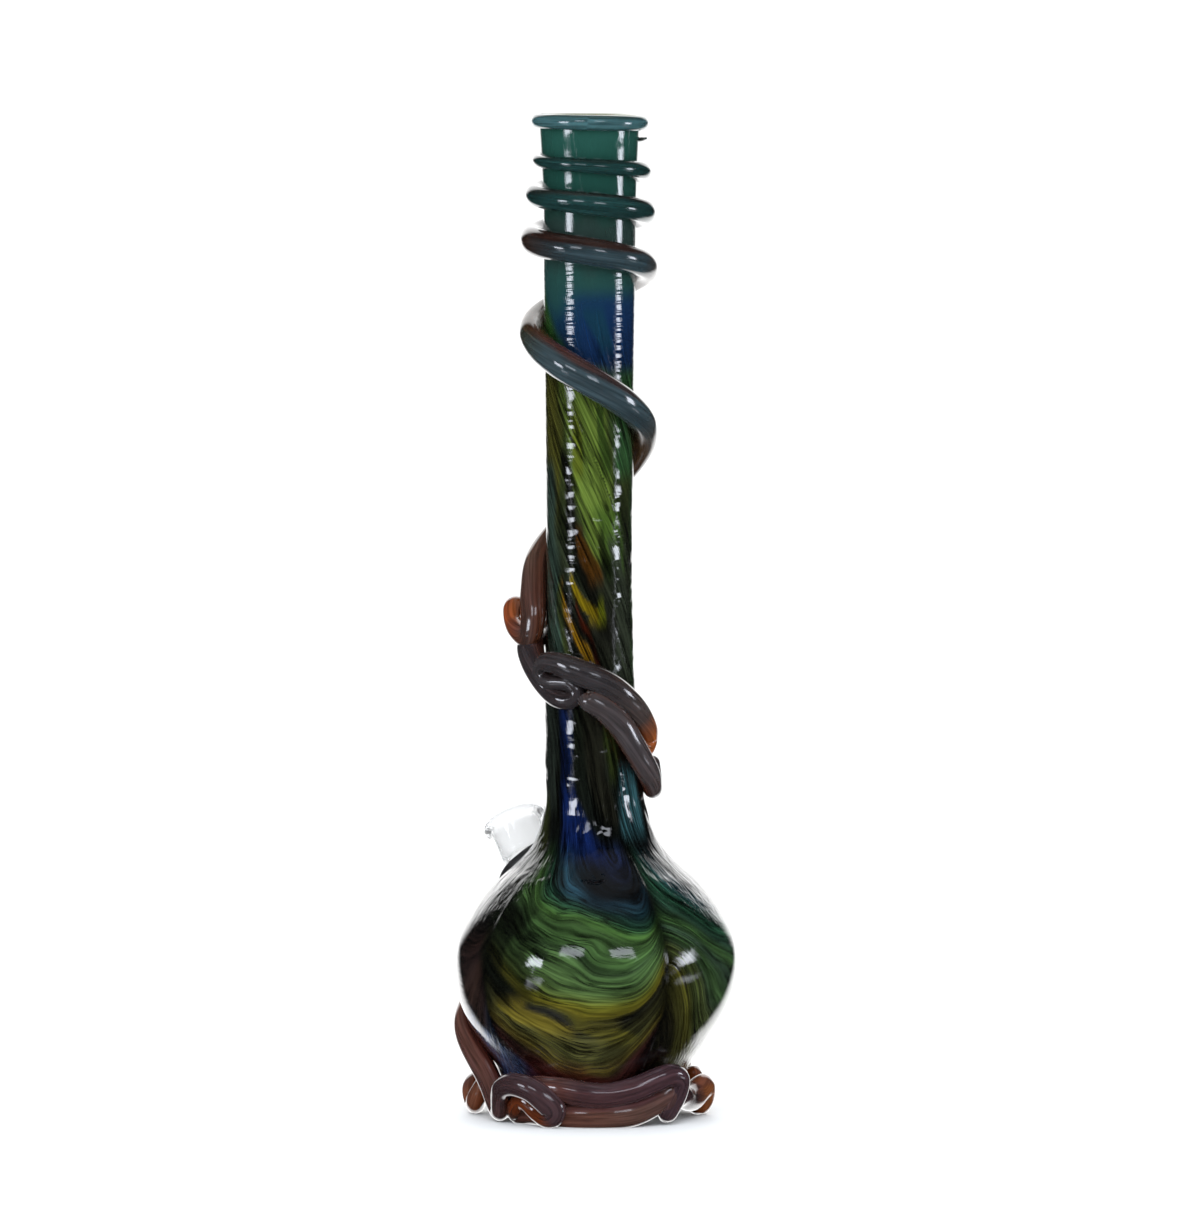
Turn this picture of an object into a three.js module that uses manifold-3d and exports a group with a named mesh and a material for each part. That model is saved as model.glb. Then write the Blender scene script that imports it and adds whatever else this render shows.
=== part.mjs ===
// A hand-blown soft-glass water pipe: a tall necked vessel with a round bulb, glass trails wound
// round the neck and the base, and a removable clear downstem in a rubber grommet.
// Millimetres, +Z up. The origin is on the bulb's axis, on the plane that the feet stand on.
// Angles are in degrees round +Z: 0 faces -Y, the front, and 90 faces +X.
import * as THREE from 'three';
import { mergeVertices } from 'three/addons/utils/BufferGeometryUtils.js';
import Module from 'manifold-3d';

const wasm = await Module();
wasm.setup();

// ---- driving dimensions ----

const RIM_HEIGHT = 404.6;
const NECK_AXIS_X = -3.0;          // the neck stands a little to the left of the bulb
const BASE_AXIS_X = -1.5;          // and so does the lower half of the bulb
const NECK_WALL = 4.0;
const BULB_WALL = 3.6;
const BASE_WALL = 6.0;
const VESSEL_SIDES = 36;
const FUSED_GAP = 0.3;             // clearance that fused pieces keep from each other
const SLIVER = 0.08;               // detail smaller than this is cleared from joined solids
const WALL_SPANS = 28;

// Outer wall, [height, radius], from the flat bottom to the flared mouth.
const OUTER_WALL = [
  [2.5, 22], [4.2, 29], [8, 33], [14, 36], [21.4, 39.6], [30.7, 45.8], [40.4, 51.8],
  [50, 55.5], [61, 57.2], [70, 56.3], [79, 52.8], [88, 46.8], [96, 38.6], [102, 32.2],
  [109, 26.6], [117, 22.8], [127, 20.4], [140, 19.6], [174, 18.3], [221, 17.5],
  [272, 17.8], [335, 18.5], [368, 18.8], [388, 19.6], [398, 20.2], [403, 20.2],
];

// Lip wrap, a ring of glass round the mouth.
const LIP = { inner: 20.6, outer: 23.8, low: 398.4, high: 404.4, tilt: 1.2 };

// Trails are flattened a little where they were pressed on: section size across and outward.
const ROPE_ACROSS = 1.06;
const ROPE_OUTWARD = 0.94;
const ROPE_SIDES = 8;
const ROPE_STEP = 4.1;
const ROPE_START = 0.95;            // a rope starts this much thinner, inside the one before it

// Neck trail, [angle, height, rope radius, lift off the wall], from its drawn-out tail at the top.
// A fifth value of 1 marks the middle of a hairpin turn.
const NECK_TRAIL = [
  [-272, 394.4, 1.0, 0], [-180, 391.4, 1.5, 0], [-90, 386.4, 2.2, 0], [0, 384.2, 2.8, 0],
  [90, 381.4, 3.3, 0], [180, 377, 3.6, 0], [270, 372.4, 4.0, 0], [360, 369.2, 4.3, 0],
  [450, 365, 4.6, 0], [540, 360, 4.9, 0], [630, 354.6, 5.3, 0], [720, 350, 5.4, 0],
  [810, 342.6, 5.1, 0], [900, 331.4, 5.3, 0], [990, 317.6, 5.6, 0], [1030, 309.6, 5.8, 0],
  [1072, 300.4, 6.0, 0], [1127, 287, 5.7, 0], [1170, 276.6, 5.4, 0], [1220, 261.4, 5.3, 0],
  [1300, 233.6, 5.3, 0], [1340, 220.6, 5.6, 0], [1354, 209, 5.7, 0.4], [1361, 200.6, 5.3, 2],
  [1360, 194.6, 4.6, 4.4, 1], [1344, 198.8, 3.8, 10], [1336, 206, 3.6, 11.6, 1],
  [1322, 203.4, 3.8, 6.6], [1322, 194.6, 4.6, 1.2], [1338, 188.8, 5.4, 0.4],
  [1356, 186.2, 5.5, 0.6], [1370, 180.2, 4.8, 0.4], [1387, 173.6, 3.9, 0], [1405, 170.2, 3.6, 0],
  [1418, 170, 3.4, 0], [1425, 173, 3.2, 0, 1], [1418, 176.4, 3.0, 0.4], [1405, 177, 2.9, 0.9],
  [1391, 177, 3.0, 2], [1382, 180.4, 3.1, 3, 1], [1388, 184.4, 3.5, 2.8], [1405, 185, 4.3, 1.8],
  [1429, 181.8, 5.1, 0.8], [1455, 177.2, 5.2, 0.6], [1478, 170.6, 5.1, 0.6],
  [1504, 162, 4.6, 0.6], [1529, 152.8, 3.8, 0.8, 1], [1519, 148.6, 3.2, 0.2],
  [1502, 151.6, 2.9, 0], [1482, 159, 2.8, 0], [1462, 167, 2.9, 0.2], [1443, 170.2, 3.4, 0.8, 1],
  [1453, 167, 4.6, 1.2], [1469, 160.4, 4.9, 1.2], [1481, 152.6, 4.9, 1.4],
  [1494, 144.6, 4.8, 1.4], [1509, 138, 4.6, 0.8], [1523, 133.2, 4.2, 0.4, 1],
  [1536, 136.8, 3.8, 1.2], [1538, 142.8, 3.3, 2],
];

// One foot of the foot wrap, relative to the foot's angle: the trail climbs, hangs down outward
// to the table, turns back up inside itself, and goes on.
const FOOT_FOLD = [
  [-12, 9, 4.6, 1.6], [-5, 11.8, 4.2, 4], [0, 9, 4.1, 6.2], [2, 4.2, 4.0, 6.8, 1],
  [9, 7.6, 3.8, 4], [12, 15.4, 3.4, 2, 1], [20, 9, 4.2, 1.6],
];
const PLAIN_FEET = [{ angle: 96, reach: 0 }, { angle: 172, reach: 1.4 }, { angle: 256, reach: 3.2 }];

// Foot wrap, as the neck trail, from its drawn-out tail at the left side of the bulb.
const FOOT_START = [
  [-132, 56, 1.1, 0], [-116, 46, 3.0, 0], [-100, 34, 4.8, 0], [-86, 23.5, 5.2, 0.2],
  [-75, 13.6, 5.0, 1.8], [-68, 7, 4.5, 4.4], [-62, 4.6, 4.1, 6.4, 1], [-55.5, 10.8, 4.0, 6.6],
  [-50, 15, 4.2, 6.4], [-42, 17, 4.4, 5.8], [-32.5, 15.6, 4.8, 5.4], [-25, 11.2, 5.0, 5.6],
  [-20.5, 6.8, 4.8, 6.2], [-24, 3.9, 4.2, 7.2, 1], [-33, 5.8, 3.5, 5.8], [-42, 10.2, 3.2, 5.2, 1],
  [-50, 6.4, 3.5, 5], [-53, 3.2, 3.6, 4.4, 1], [-44, 3.6, 3.8, 2.4], [-30, 4, 4.4, 2.4],
  [-12, 4.4, 5.0, 2.8], [8, 4.6, 5.2, 2.8], [24, 6, 5.3, 2.6], [34, 8.6, 5.1, 2.4],
  [42, 11.6, 4.6, 3], [47, 14.4, 3.9, 4.8, 1], [44, 9, 3.4, 6.6], [44.5, 3.6, 3.1, 6.8, 1],
  [51, 8.4, 3.6, 4.4], [59, 11, 4.3, 2.4], [71, 8.6, 4.6, 2],
];
const FOOT_END = [
  [284, 5, 4.4, 0.6], [298, 7.4, 4.0, 0.2], [311, 12.6, 4.0, 0.2], [325, 15.4, 4.4, 0.2],
  [340, 15.4, 4.8, 0.4], [353, 13.8, 5.0, 0.8], [367, 12.9, 5.0, 0.8], [383, 15.2, 4.9, 0.8],
  [397, 18.4, 4.7, 1.2], [407, 20.8, 4.4, 2.6], [413.5, 18.4, 4.3, 4.8], [414, 12, 4.2, 6.6],
  [410.5, 5.2, 4.0, 7.4],
];

// Downstem: where its axis meets the bulb's shoulder, and the way the axis points.
const STEM_SEAT = new THREE.Vector3(-25.0, 31.2, 95.4);
const STEM_AXIS = new THREE.Vector3(-0.36, 0.43, 0.83).normalize();
const STEM_HOLE_RADIUS = 10.1;
const STEM_TUBE = { outer: 7.75, inner: 5.75, top: 6.2, bottom: -94 };
const SOCKET = {
  rim: 26.5, bead: 13.2, beadDepth: 4.6, body: 11.2, taperTop: 9.4, taperBottom: 8.5,
  floor: 9.0, foot: 6.5,
};
const GROMMET = {
  flange: 14.8, flangeThickness: 4.6, collar: 10.9, top: 6.0, inside: 12.0, bottom: -8.5, bore: 8.05,
};
const STEM_SIDES = 24;

// ---- solids ----

function toManifold(geometry) {
  const bare = geometry.clone();
  bare.deleteAttribute('normal');
  bare.deleteAttribute('uv');
  const merged = mergeVertices(bare, 1e-4);
  const index = merged.index.array;
  const triangles = [];
  for (let i = 0; i < index.length; i += 3) {
    const [a, b, c] = [index[i], index[i + 1], index[i + 2]];
    if (a !== b && b !== c && c !== a) triangles.push(a, b, c);
  }
  return new wasm.Manifold(new wasm.Mesh({
    numProp: 3,
    vertProperties: new Float32Array(merged.attributes.position.array),
    triVerts: new Uint32Array(triangles),
  }));
}

function toGeometry(solid) {
  const mesh = solid.getMesh();
  const geometry = new THREE.BufferGeometry();
  geometry.setAttribute('position', new THREE.BufferAttribute(mesh.vertProperties, 3));
  geometry.setIndex(new THREE.BufferAttribute(mesh.triVerts, 1));
  geometry.computeVertexNormals();
  return geometry;
}

// A join leaves slivers and specks of no volume where faces cross, so those are cleared away.
function tidied(solid) {
  const bodies = solid.simplify(SLIVER).decompose();
  return bodies.reduce((best, body) => (body.volume() > best.volume() ? body : best));
}

// A profile of [height, radius] pairs turned round +Z.
function turned(profile, sides) {
  const points = profile.map(([height, radius]) => new THREE.Vector2(radius, height));
  return new THREE.LatheGeometry(points, sides).rotateX(Math.PI / 2);
}

// Puts a piece that was made round +Z onto the downstem's axis.
function onStemAxis(geometry) {
  const turn = new THREE.Quaternion().setFromUnitVectors(new THREE.Vector3(0, 0, 1), STEM_AXIS);
  return geometry.applyQuaternion(turn).translate(STEM_SEAT.x, STEM_SEAT.y, STEM_SEAT.z);
}

function closedRing(profile, sides) {
  return turned([...profile, profile[0]], sides);
}

// ---- vessel ----

const smooth = THREE.MathUtils.smoothstep;

// The bulb, the neck and the base aren't quite on one axis.
function axisX(height) {
  const neck = NECK_AXIS_X * smooth(height, 100, 185);
  const base = BASE_AXIS_X * (1 - smooth(height, 30, 62));
  return neck + base;
}

function leaned(geometry) {
  const position = geometry.attributes.position;
  for (let i = 0; i < position.count; i += 1) {
    position.setX(i, position.getX(i) + axisX(position.getZ(i)));
  }
  return geometry;
}

const wallCurve = new THREE.SplineCurve(OUTER_WALL.map(([z, r]) => new THREE.Vector2(r, z)));
const fineWall = wallCurve.getPoints(400);

// Wall points every two samples a span, moved along the wall's normal by offset(height).
function wallPoints(spans, offset) {
  const points = [];
  for (let i = 0; i <= spans; i += 1) {
    const point = wallCurve.getPoint(i / spans);
    const tangent = wallCurve.getTangent(i / spans);
    const distance = offset(point.y);
    points.push([point.y - tangent.x * distance, point.x + tangent.y * distance]);
  }
  return points;
}

function wallThickness(height) {
  const above = smooth(height, 100, 150);
  const below = 1 - smooth(height, 4, 34);
  return BULB_WALL + (NECK_WALL - BULB_WALL) * above + (BASE_WALL - BULB_WALL) * below;
}

// A shell that follows the wall, grown by extra on both sides.
function shell(extra, spans) {
  const outside = wallPoints(spans, () => extra);
  const inside = wallPoints(spans, (height) => -wallThickness(height) - extra);
  const floor = OUTER_WALL[0][0] + BASE_WALL + extra;
  const cavity = inside.filter(([height]) => height > floor + 1);
  const bottom = [[OUTER_WALL[0][0] - extra, 0]];
  const rimOuter = [RIM_HEIGHT - 0.4, outside.at(-1)[1] - 0.8];
  const rimInner = [RIM_HEIGHT - 0.4, cavity.at(-1)[1] + 0.8];
  const up = [...bottom, ...outside, rimOuter, [RIM_HEIGHT, (rimOuter[1] + rimInner[1]) / 2]];
  const down = [rimInner, ...cavity.reverse(), [floor, cavity.at(-1)[1] - 6], [floor, 0]];
  return leaned(turned([...up, ...down], VESSEL_SIDES));
}

function stemDrill(radius) {
  const drill = new THREE.CylinderGeometry(radius, radius, 40, STEM_SIDES);
  return toManifold(onStemAxis(drill.rotateX(Math.PI / 2)));
}

function vesselGeometry() {
  const blank = toManifold(shell(0, WALL_SPANS));
  return toGeometry(tidied(blank.subtract(stemDrill(STEM_HOLE_RADIUS))));
}

// ---- glass trails ----

// The smallest radius at this height that is the given distance from the wall.
function seatRadius(height, distance) {
  let radius = 0;
  for (const wall of fineWall) {
    const rise = Math.abs(wall.y - height);
    if (rise < distance) {
      radius = Math.max(radius, wall.x + Math.sqrt(distance * distance - rise * rise));
    }
  }
  return radius;
}

// The middle of a trail laid on the vessel's wall, through [angle, height, radius, lift] points.
class TrailCurve extends THREE.Curve {
  constructor(points) {
    super();
    const places = points.map((point) => TrailCurve.place(point));
    this.times = [0];
    for (let i = 1; i < places.length; i += 1) {
      this.times.push(this.times[i - 1] + Math.sqrt(places[i].distanceTo(places[i - 1])));
    }
    this.end = this.times.at(-1);
    const values = points.flatMap((point) => point.slice(0, 4));
    this.track = new THREE.CubicInterpolant(this.times, values, 4);
    this.arcLengthDivisions = 1200;
  }

  static place([angle, height, radius, lift]) {
    const turn = THREE.MathUtils.degToRad(angle);
    const seat = seatRadius(height, radius * ROPE_OUTWARD + FUSED_GAP + lift);
    return new THREE.Vector3(
      axisX(height) + seat * Math.sin(turn),
      -seat * Math.cos(turn),
      height,
    );
  }

  getPoint(t) {
    return TrailCurve.place([...this.track.evaluate(t * this.end)]);
  }

  ropeRadius(t) {
    return this.track.evaluate(t * this.end)[2];
  }
}

// A round-ended rope along the curve from t0 to t1.
function ropeSolid(curve, t0, t1) {
  const from = curve.getPoint(t0);
  let length = 0;
  for (let i = 1; i <= 60; i += 1) {
    const to = curve.getPoint(t0 + (t1 - t0) * i / 60);
    length += from.distanceTo(to);
    from.copy(to);
  }
  const steps = Math.max(2, Math.round(length / ROPE_STEP));
  const rope = new THREE.CapsuleGeometry(1, steps, 3, ROPE_SIDES, steps);
  const position = rope.attributes.position;
  for (let i = 0; i < position.count; i += 1) {
    const along = THREE.MathUtils.clamp(position.getY(i), -steps / 2, steps / 2);
    const beyond = position.getY(i) - along;
    const t = t0 + (t1 - t0) * (along / steps + 0.5);
    const middle = curve.getPoint(t);
    const tangent = curve.getTangent(t);
    const outward = new THREE.Vector3(middle.x - axisX(middle.z), middle.y, 0);
    outward.addScaledVector(tangent, -outward.dot(tangent)).normalize();
    const across = new THREE.Vector3().crossVectors(outward, tangent);
    const radius = curve.ropeRadius(t) * (along === -steps / 2 ? ROPE_START : 1);
    middle.addScaledVector(tangent, beyond * radius);
    middle.addScaledVector(outward, position.getX(i) * radius * ROPE_OUTWARD);
    middle.addScaledVector(across, position.getZ(i) * radius * ROPE_ACROSS);
    position.setXYZ(i, middle.x, middle.y, middle.z);
  }
  return toManifold(rope);
}

// The whole trail, one rope from hairpin to hairpin, melted into one body.
function trailSolid(points) {
  const curve = new TrailCurve(points);
  const turns = points.map((point, i) => (point[4] ? curve.times[i] / curve.end : 0));
  const breaks = [0, ...turns.filter((t) => t > 0), 1];
  let solid = ropeSolid(curve, breaks[0], breaks[1]);
  for (let i = 1; i < breaks.length - 1; i += 1) {
    solid = solid.add(ropeSolid(curve, breaks[i], breaks[i + 1]));
  }
  return tidied(solid);
}

function footWrapGeometry() {
  const feet = PLAIN_FEET.flatMap(({ angle, reach }) => (
    FOOT_FOLD.map(([turn, height, radius, lift, hairpin]) => (
      [angle + turn, height, radius, lift + (lift > 3 ? reach : 0), hairpin]
    ))
  ));
  const wrap = trailSolid([...FOOT_START, ...feet, ...FOOT_END]);
  const table = toManifold(new THREE.BoxGeometry(200, 200, 20).translate(0, 0, -10));
  return toGeometry(tidied(wrap.subtract(table)));
}

function lipGeometry() {
  const middle = (LIP.low + LIP.high) / 2;
  const half = (LIP.high - LIP.low) / 2;
  const profile = [];
  for (let i = 0; i <= 8; i += 1) {
    const angle = Math.PI * (i / 8 - 0.5);
    const radius = LIP.inner + 0.6 + (LIP.outer - LIP.inner - 0.6) * Math.cos(angle);
    profile.push([middle + half * Math.sin(angle), radius]);
  }
  profile.push([LIP.high - 0.4, LIP.inner]);
  profile.push([LIP.low + 0.4, LIP.inner]);
  const ring = closedRing(profile, VESSEL_SIDES).translate(0, 0, -middle);
  ring.rotateY(THREE.MathUtils.degToRad(LIP.tilt));
  return ring.translate(axisX(middle), 0, middle);
}

// ---- downstem and grommet ----

function socketGeometry() {
  const { rim, bead, beadDepth, body, taperTop, taperBottom, floor, foot } = SOCKET;
  const profile = [
    [rim - 0.8, taperTop], [floor, taperBottom], [floor - 1.4, STEM_TUBE.inner + 0.8],
    [foot, STEM_TUBE.inner], [foot, STEM_TUBE.outer], [foot + 1.4, STEM_TUBE.outer + 0.4],
    [foot + 3, body - 0.8], [foot + 4.6, body], [rim - beadDepth - 1.6, body],
    [rim - beadDepth, bead - 0.9], [rim - beadDepth / 2, bead], [rim - 0.9, bead - 0.6],
    [rim, bead - 1.8], [rim, taperTop + 0.8],
  ];
  return onStemAxis(closedRing(profile, STEM_SIDES));
}

function stemTubeGeometry() {
  const { outer, inner, top, bottom } = STEM_TUBE;
  const profile = [
    [bottom + 0.7, outer], [top, outer], [top, inner], [bottom + 0.7, inner],
    [bottom, (outer + inner) / 2],
  ];
  return onStemAxis(closedRing(profile, STEM_SIDES));
}

// Everything within the outer wall, as one solid.
function insideOfBulb() {
  const outline = [[0, 0], ...wallPoints(WALL_SPANS, () => 0), [RIM_HEIGHT, 0]];
  return toManifold(leaned(turned(outline, VESSEL_SIDES)));
}

// The rubber is soft, so its flange lies along the glass all round the collar.
function grommetGeometry() {
  const { flange, flangeThickness, collar, top, inside, bottom, bore } = GROMMET;
  const plug = [
    [bottom, bore], [bottom, inside - 0.8], [bottom + 0.8, inside], [-1, inside], [-1, collar],
    [top - 1, collar], [top, collar - 1], [top, bore],
  ];
  const disc = [[-12, bore], [-12, flange], [12, flange], [12, bore]];
  const near = toManifold(shell(FUSED_GAP + flangeThickness, WALL_SPANS));
  const layer = toManifold(onStemAxis(closedRing(disc, STEM_SIDES))).intersect(near);
  const glass = toManifold(shell(FUSED_GAP, WALL_SPANS)).subtract(stemDrill(STEM_HOLE_RADIUS - FUSED_GAP));
  const rubber = toManifold(onStemAxis(closedRing(plug, STEM_SIDES)));
  return toGeometry(tidied(rubber.add(layer.subtract(insideOfBulb())).subtract(glass)));
}

// ---- the pipe ----

function piece(name, geometry, color, roughness) {
  const material = new THREE.MeshStandardMaterial({ color, roughness, metalness: 0 });
  const mesh = new THREE.Mesh(geometry, material);
  mesh.name = name;
  return mesh;
}

const pipe = new THREE.Group();
pipe.add(piece('vessel', vesselGeometry(), 0x1c3324, 0.08));
pipe.add(piece('lip_wrap', lipGeometry(), 0x2f5a58, 0.08));
pipe.add(piece('neck_trail', toGeometry(trailSolid(NECK_TRAIL)), 0x4a5a5e, 0.1));
pipe.add(piece('foot_wrap', footWrapGeometry(), 0x5a3230, 0.1));
pipe.add(piece('grommet', grommetGeometry(), 0x0c0c0d, 0.6));
pipe.add(piece('joint_socket', socketGeometry(), 0xe6ecec, 0.15));
pipe.add(piece('stem_tube', stemTubeGeometry(), 0xe6ecec, 0.05));

export default pipe;
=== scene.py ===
"""Hand-blown glass water pipe: the visual model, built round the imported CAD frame. Metres, +Z up."""

import math

import bpy
import numpy as np
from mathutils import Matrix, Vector


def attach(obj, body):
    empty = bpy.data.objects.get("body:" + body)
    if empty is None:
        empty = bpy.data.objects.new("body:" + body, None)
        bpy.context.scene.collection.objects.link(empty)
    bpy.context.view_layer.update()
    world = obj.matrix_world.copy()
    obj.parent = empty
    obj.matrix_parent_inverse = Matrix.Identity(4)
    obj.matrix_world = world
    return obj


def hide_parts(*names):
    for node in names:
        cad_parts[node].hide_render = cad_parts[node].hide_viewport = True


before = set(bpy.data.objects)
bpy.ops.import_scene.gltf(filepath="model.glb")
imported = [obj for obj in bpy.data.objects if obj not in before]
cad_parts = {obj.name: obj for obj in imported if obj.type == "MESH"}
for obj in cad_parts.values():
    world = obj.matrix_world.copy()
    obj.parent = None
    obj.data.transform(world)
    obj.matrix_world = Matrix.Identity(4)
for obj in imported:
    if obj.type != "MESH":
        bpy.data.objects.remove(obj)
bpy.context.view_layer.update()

MM = 0.001
rng = np.random.default_rng(7)

# ---- dimensions, in millimetres and degrees. Angle 0 is at the front and 90 on the right ----

NECK_AXIS_X = -3.0
BASE_AXIS_X = -1.5
NECK_WALL = 4.0
BULB_WALL = 3.6
BASE_WALL = 6.0
RIM_CROWN = 1.6
FUSED = -0.5                # lift of a trail that lies on the wall: it sinks in a little
ROPE_ACROSS = 1.06          # a trail's section is flattened a little: its size across, and outward
ROPE_OUTWARD = 0.94

# Outer wall, (height, radius), from the flat bottom to the mouth.
OUTER_WALL = [
    (2.5, 22), (4.2, 29), (8, 33), (14, 36), (21.4, 39.6), (30.7, 45.8), (40.4, 51.8),
    (50, 55.5), (61, 57.2), (70, 56.3), (79, 52.8), (88, 46.8), (96, 39.8), (102, 33.2),
    (109, 26.6), (117, 22.8), (127, 20.4), (140, 19.6), (174, 18.3), (221, 17.5),
    (272, 17.8), (335, 18.5), (368, 18.8), (388, 19.6), (398, 20.2), (403, 20.2),
]

# Neck trail, (angle, height, rope radius, lift off the wall), from its drawn-out tail at the top.
NECK_TRAIL = [
    (-282, 394.9, 0.45, 3.2), (-271, 394.5, 0.8, 1.4), (-258, 394.2, 1.0, 0.2),
    (-180, 391.4, 1.5, 0), (-90, 386.4, 2.2, 0), (0, 384.2, 2.8, 0),
    (90, 381.4, 3.3, 0), (180, 377, 3.6, 0), (270, 372.4, 4.0, 0), (360, 369.2, 4.3, 0),
    (450, 365, 4.6, 0), (540, 360, 4.9, 0), (630, 354.6, 5.3, 0), (720, 350, 5.4, 0),
    (810, 342.6, 5.1, 0), (900, 331.4, 5.3, 0), (990, 317.6, 5.6, 0), (1030, 309.6, 5.8, 0),
    (1072, 300.4, 6.0, 0), (1127, 287, 5.7, 0), (1170, 276.6, 5.4, 0), (1220, 261.4, 5.3, 0),
    (1300, 233.6, 5.3, 0), (1340, 220.6, 5.6, 0), (1354, 209, 5.7, 0.4), (1361, 200.6, 5.4, 1),
    (1360, 194.6, 4.9, 3.0), (1344, 198.8, 3.8, 10), (1336, 206, 3.6, 11.6),
    (1322, 203.4, 3.8, 6.6), (1322, 194.6, 4.6, 1.2), (1337, 192.4, 5.6, 0.6),
    (1355, 189.2, 5.9, 1.0), (1370, 181.8, 5.2, 0.6), (1387, 173.6, 3.9, 0), (1405, 170.2, 3.6, 0),
    (1418, 170, 3.4, 0), (1425, 173, 3.2, 0), (1418, 176.4, 3.0, 0.4), (1405, 177, 2.9, 0.9),
    (1391, 177, 3.0, 2), (1382, 180.4, 3.1, 3), (1388, 184.4, 3.5, 2.8), (1405, 185, 4.3, 1.8),
    (1429, 181.8, 5.1, 0.8), (1455, 177.2, 5.2, 0.6), (1478, 170.6, 5.1, 0.6),
    (1504, 162, 4.6, 0.6), (1529, 152.8, 3.8, 0.8), (1519, 148.6, 3.2, 0.2),
    (1502, 151.6, 2.9, 0), (1482, 159, 2.8, 0), (1462, 167, 2.9, 0.2), (1437, 171.0, 4.3, 0.9),
    (1453, 167, 4.6, 1.2), (1469, 160.4, 4.9, 1.2), (1481, 152.6, 4.9, 1.4),
    (1494, 144.6, 4.8, 1.4), (1509, 138, 4.6, 0.8), (1523, 133.2, 4.2, 0.4),
    (1536, 136.8, 3.8, 1.2), (1538, 142.8, 3.3, 2),
]

# One foot, relative to its own angle: the trail climbs, hangs to the floor and turns back up.
FOOT_FOLD = [
    (-12, 9, 4.6, 1.6), (-5, 11.8, 4.2, 4), (0, 9, 4.1, 6.2), (2, 4.2, 4.0, 6.8),
    (9, 7.6, 3.8, 4), (12, 15.4, 3.4, 2), (20, 9, 4.2, 1.6),
]
PLAIN_FEET = [(96, 0, 1.22), (172, 1.4, 1), (256, 5.4, 1.1)]        # angle, further reach, size
FOOT_START = [
    (-132, 56, 1.1, 0), (-116, 46, 3.0, 0), (-100, 34, 4.8, 0), (-86, 23.5, 5.2, 0.2),
    (-75, 13.6, 5.0, 1.8), (-68, 7, 4.5, 4.4), (-62, 4.6, 4.1, 6.4), (-55.5, 10.8, 4.0, 6.6),
    (-50, 15, 4.2, 6.4), (-42, 17, 4.4, 5.8), (-32.5, 15.6, 4.8, 5.4), (-25, 11.2, 5.0, 5.6),
    (-20.5, 6.8, 4.8, 6.2), (-24, 3.9, 4.2, 7.2), (-33, 5.8, 3.5, 5.8), (-42, 10.2, 3.2, 5.2),
    (-50, 6.4, 3.5, 5), (-53, 3.2, 3.6, 4.4), (-44, 3.6, 3.8, 2.4), (-30, 4, 4.4, 2.4),
    (-12, 4.4, 5.0, 2.8), (8, 4.6, 5.2, 2.8), (24, 6, 5.3, 2.6), (34, 8.6, 5.1, 2.4),
    (42, 11.6, 4.6, 3), (47, 14.4, 3.9, 4.8), (44, 9, 3.4, 6.6), (44.5, 3.6, 3.1, 6.8),
    (51, 8.4, 3.6, 4.4), (59, 11, 4.3, 2.4), (71, 8.6, 4.6, 2),
]
FOOT_END = [
    (284, 5, 4.4, 0.6), (298, 7.4, 4.0, 0.2), (311, 12.6, 4.0, 0.2), (325, 15.4, 4.4, 0.2),
    (340, 15.4, 4.8, 0.4), (353, 13.8, 5.0, 0.8), (367, 12.9, 5.0, 0.8), (383, 15.2, 4.9, 0.8),
    (394, 18.4, 4.7, 1.2), (402.5, 20.6, 4.4, 2.4), (408, 18.2, 4.3, 4.2), (408, 12, 4.2, 5.6),
    (404.5, 5.2, 4.0, 6.4),
]

LIP = {"inner": 20.6, "outer": 23.8, "low": 398.4, "high": 404.4, "tilt": 1.2}
STEM_SEAT = np.array((-25.0, 31.2, 95.4))
STEM_AXIS = np.array((-0.36, 0.43, 0.83)) / np.linalg.norm((-0.36, 0.43, 0.83))
STEM_SIDES = 96
STEM_HOLE_RADIUS = 9.8
STEM_TUBE = {"outer": 7.75, "inner": 5.75, "top": 6.2, "bottom": -94}
SOCKET = {"rim": 26.5, "bead": 13.2, "bead_depth": 4.6, "body": 10.6, "taper_top": 9.4,
          "taper_bottom": 8.5, "floor": 9.0, "foot": 6.5}


# ---- small maths ----

def smoothstep(x, low, high):
    t = np.clip((np.asarray(x, float) - low) / (high - low), 0, 1)
    return t * t * (3 - 2 * t)


def lerp(a, b, t):
    return a + (b - a) * t


NOISE_SIZE = 32
noise_table = rng.random((NOISE_SIZE, NOISE_SIZE, NOISE_SIZE)) * 2 - 1


def value_noise(p):
    """Smooth noise in -1..1 at an (n, 3) array of points, one cell a unit."""
    base = np.floor(p).astype(int)
    f = p - base
    f = f * f * (3 - 2 * f)
    total = np.zeros(len(p))
    for dx in (0, 1):
        for dy in (0, 1):
            for dz in (0, 1):
                corner = (base + (dx, dy, dz)) % NOISE_SIZE
                weight = (np.where(dx, f[:, 0], 1 - f[:, 0]) * np.where(dy, f[:, 1], 1 - f[:, 1])
                          * np.where(dz, f[:, 2], 1 - f[:, 2]))
                total += weight * noise_table[corner[:, 0], corner[:, 1], corner[:, 2]]
    return total


def stack(*columns):
    return np.stack(np.broadcast_arrays(*columns), axis=-1).astype(float)


def round_noise(angle, size, height, shift=0.0):
    """Smooth noise round an upright cylinder, from angles in degrees and the cylinder's radius in cells."""
    a = np.radians(angle)
    return value_noise(stack(np.sin(a) * size + shift, np.cos(a) * size, height))


def around(sides):
    """Even angles round a full turn, in radians."""
    return np.arange(sides) * 2 * math.pi / sides


def srgb(text):
    """A colour written as rrggbb, as linear light."""
    c = np.array([int(text[i:i + 2], 16) for i in (0, 2, 4)]) / 255
    return np.where(c <= 0.04045, c / 12.92, ((c + 0.055) / 1.055) ** 2.4)


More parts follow.
